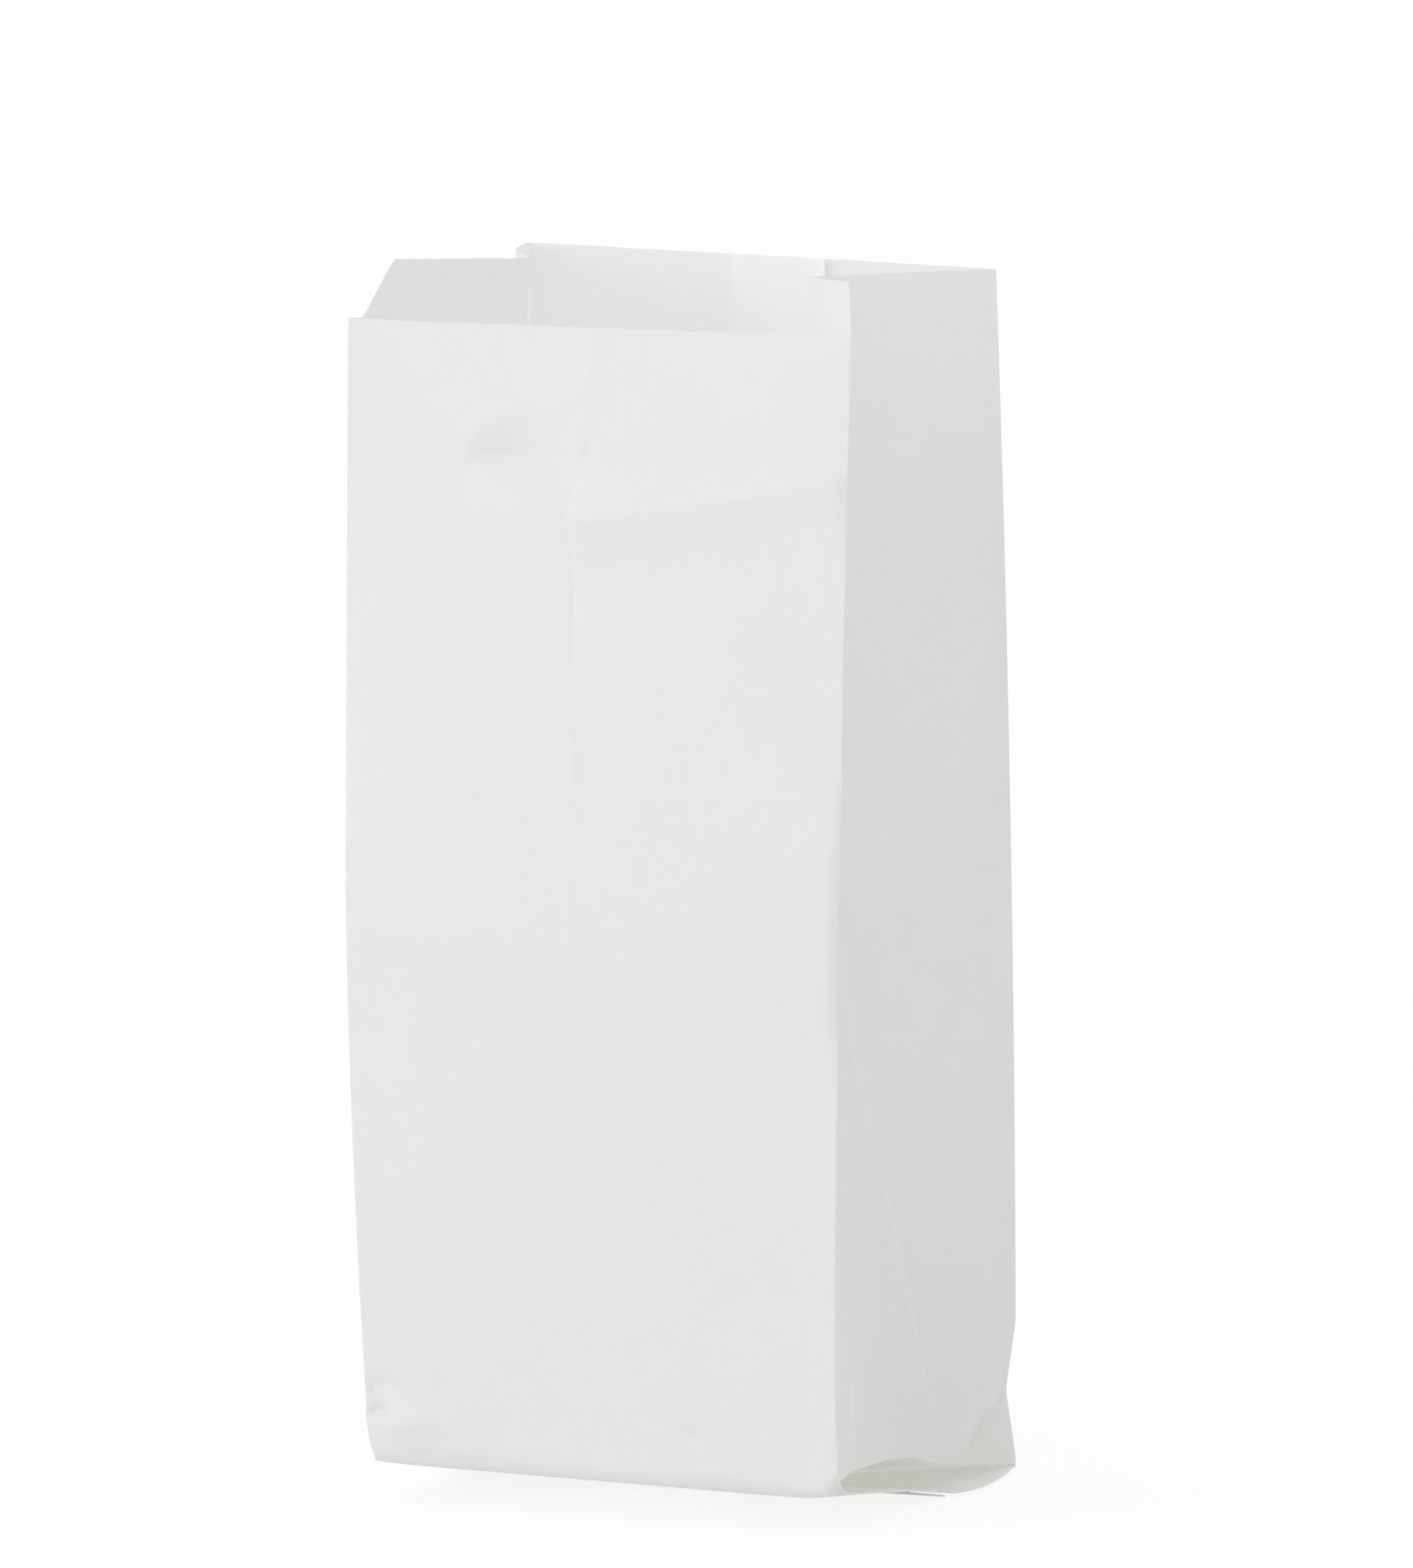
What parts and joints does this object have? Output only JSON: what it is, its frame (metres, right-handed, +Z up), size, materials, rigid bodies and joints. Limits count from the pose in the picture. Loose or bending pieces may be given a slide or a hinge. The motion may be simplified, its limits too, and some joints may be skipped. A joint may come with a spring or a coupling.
{
  "type": "greaseproof paper bag",
  "caption": "Open-topped gusseted greaseproof paper bag standing on its opened-out floor, with a lap seam and a folded hem, for takeaway food.",
  "frame": {"origin": "middle of the footprint, on the surface the bag stands on", "axes": "+Z up out of the mouth, front panel facing -Y, +X to the right seen from the front"},
  "size_m": [0.15, 0.1462, 0.3557],
  "materials": {
    "greaseproof_paper": "matte, slightly translucent"
  },
  "bodies": {
    "root": {"paper_bag": "greaseproof_paper"}
  },
  "joints": []
}
